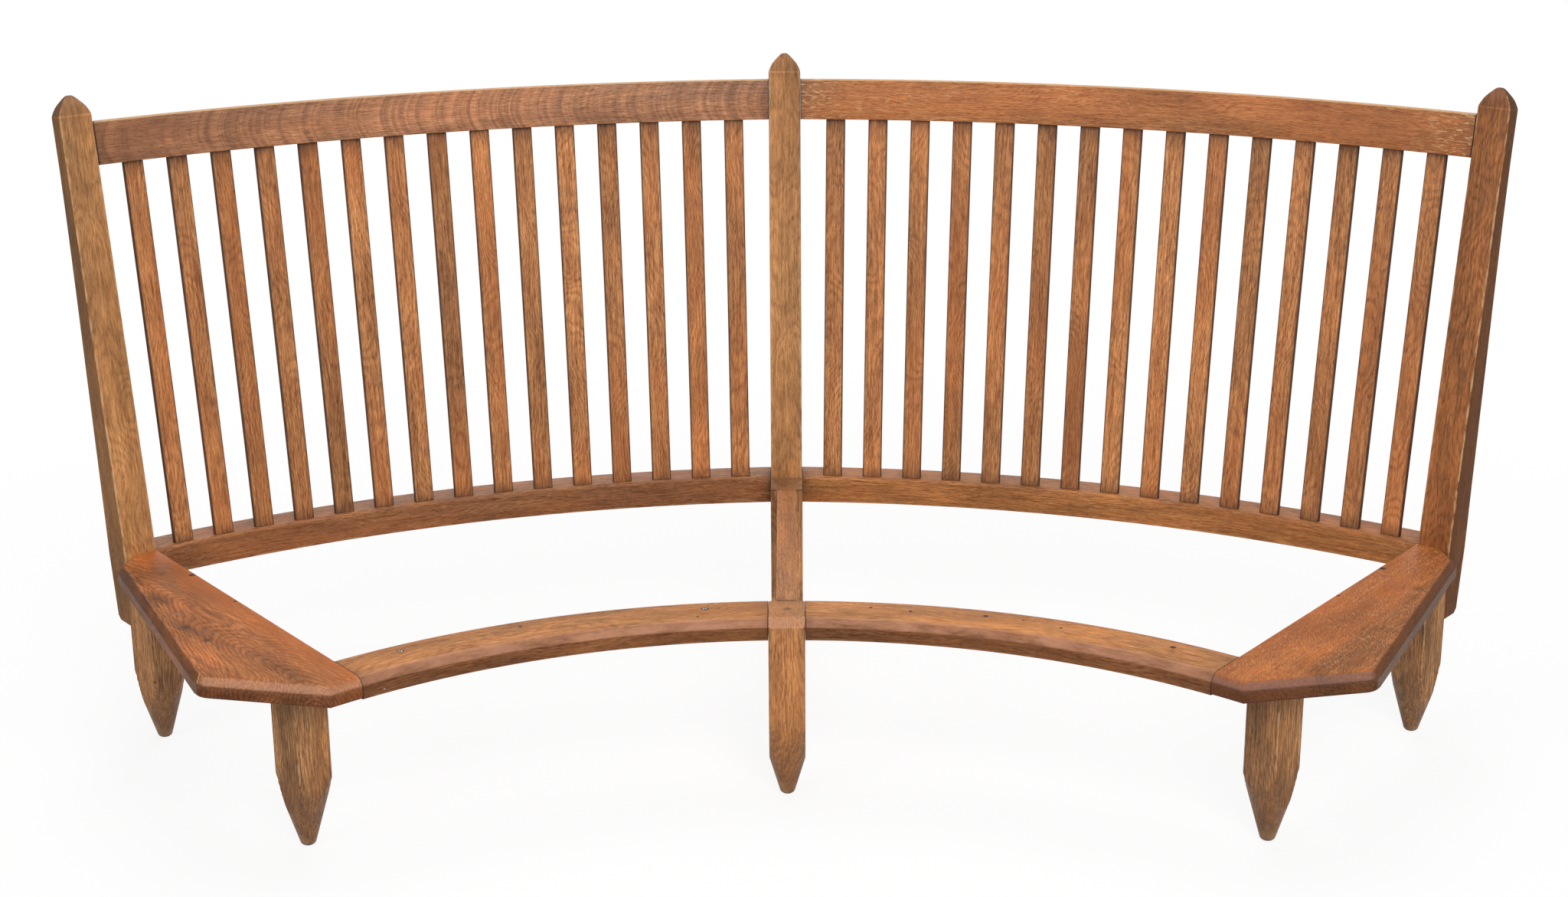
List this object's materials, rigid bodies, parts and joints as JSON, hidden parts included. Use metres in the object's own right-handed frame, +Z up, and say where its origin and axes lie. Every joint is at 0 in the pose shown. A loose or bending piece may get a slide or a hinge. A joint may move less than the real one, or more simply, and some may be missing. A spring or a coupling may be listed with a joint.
{
  "type": "curved bench",
  "caption": "Curved oak bench frame with a raked slatted back, pyramid-topped posts, open seat frame with end boards, and pointed square legs.",
  "frame": {"origin": "centre of the footprint's bounding box, on the floor", "axes": "+X towards a viewer's right when facing the bench, +Y from the open front to the slatted back, +Z up"},
  "size_m": [2.107, 0.9758, 0.9484],
  "materials": {
    "back_rail_left": "oiled oak, satin",
    "back_rail_right": "oiled oak, satin",
    "centre_stretcher": "oiled oak, satin",
    "end_board_left": "oiled oak, satin",
    "end_board_right": "oiled oak, satin",
    "front_rail_left": "oiled oak, satin",
    "front_rail_right": "oiled oak, satin",
    "leg_front_centre": "oiled oak, satin",
    "leg_front_left": "oiled oak, satin",
    "leg_front_right": "oiled oak, satin",
    "leg_rear_centre": "oiled oak, satin",
    "leg_rear_left": "oiled oak, satin",
    "leg_rear_right": "oiled oak, satin",
    "post_centre": "oiled oak, satin",
    "post_left": "oiled oak, satin",
    "post_right": "oiled oak, satin",
    "side_rail_left": "oiled oak, satin",
    "side_rail_right": "oiled oak, satin",
    "slat_left_01": "oiled oak, satin",
    "slat_left_02": "oiled oak, satin",
    "slat_left_03": "oiled oak, satin",
    "slat_left_04": "oiled oak, satin",
    "slat_left_05": "oiled oak, satin",
    "slat_left_06": "oiled oak, satin",
    "slat_left_07": "oiled oak, satin",
    "slat_left_08": "oiled oak, satin",
    "slat_left_09": "oiled oak, satin",
    "slat_left_10": "oiled oak, satin",
    "slat_left_11": "oiled oak, satin",
    "slat_left_12": "oiled oak, satin",
    "slat_left_13": "oiled oak, satin",
    "slat_left_14": "oiled oak, satin",
    "slat_left_15": "oiled oak, satin",
    "slat_right_01": "oiled oak, satin",
    "slat_right_02": "oiled oak, satin",
    "slat_right_03": "oiled oak, satin",
    "slat_right_04": "oiled oak, satin",
    "slat_right_05": "oiled oak, satin",
    "slat_right_06": "oiled oak, satin",
    "slat_right_07": "oiled oak, satin",
    "slat_right_08": "oiled oak, satin",
    "slat_right_09": "oiled oak, satin",
    "slat_right_10": "oiled oak, satin",
    "slat_right_11": "oiled oak, satin",
    "slat_right_12": "oiled oak, satin",
    "slat_right_13": "oiled oak, satin",
    "slat_right_14": "oiled oak, satin",
    "slat_right_15": "oiled oak, satin",
    "top_rail_left": "oiled oak, satin",
    "top_rail_right": "oiled oak, satin"
  },
  "bodies": {
    "root": {"back_rail_left": "back_rail_left", "back_rail_right": "back_rail_right", "centre_stretcher": "centre_stretcher", "end_board_left": "end_board_left", "end_board_right": "end_board_right", "front_rail_left": "front_rail_left", "front_rail_right": "front_rail_right", "leg_front_centre": "leg_front_centre", "leg_front_left": "leg_front_left", "leg_front_right": "leg_front_right", "leg_rear_centre": "leg_rear_centre", "leg_rear_left": "leg_rear_left", "leg_rear_right": "leg_rear_right", "post_centre": "post_centre", "post_left": "post_left", "post_right": "post_right", "side_rail_left": "side_rail_left", "side_rail_right": "side_rail_right", "slat_left_01": "slat_left_01", "slat_left_02": "slat_left_02", "slat_left_03": "slat_left_03", "slat_left_04": "slat_left_04", "slat_left_05": "slat_left_05", "slat_left_06": "slat_left_06", "slat_left_07": "slat_left_07", "slat_left_08": "slat_left_08", "slat_left_09": "slat_left_09", "slat_left_10": "slat_left_10", "slat_left_11": "slat_left_11", "slat_left_12": "slat_left_12", "slat_left_13": "slat_left_13", "slat_left_14": "slat_left_14", "slat_left_15": "slat_left_15", "slat_right_01": "slat_right_01", "slat_right_02": "slat_right_02", "slat_right_03": "slat_right_03", "slat_right_04": "slat_right_04", "slat_right_05": "slat_right_05", "slat_right_06": "slat_right_06", "slat_right_07": "slat_right_07", "slat_right_08": "slat_right_08", "slat_right_09": "slat_right_09", "slat_right_10": "slat_right_10", "slat_right_11": "slat_right_11", "slat_right_12": "slat_right_12", "slat_right_13": "slat_right_13", "slat_right_14": "slat_right_14", "slat_right_15": "slat_right_15", "top_rail_left": "top_rail_left", "top_rail_right": "top_rail_right"}
  },
  "joints": []
}
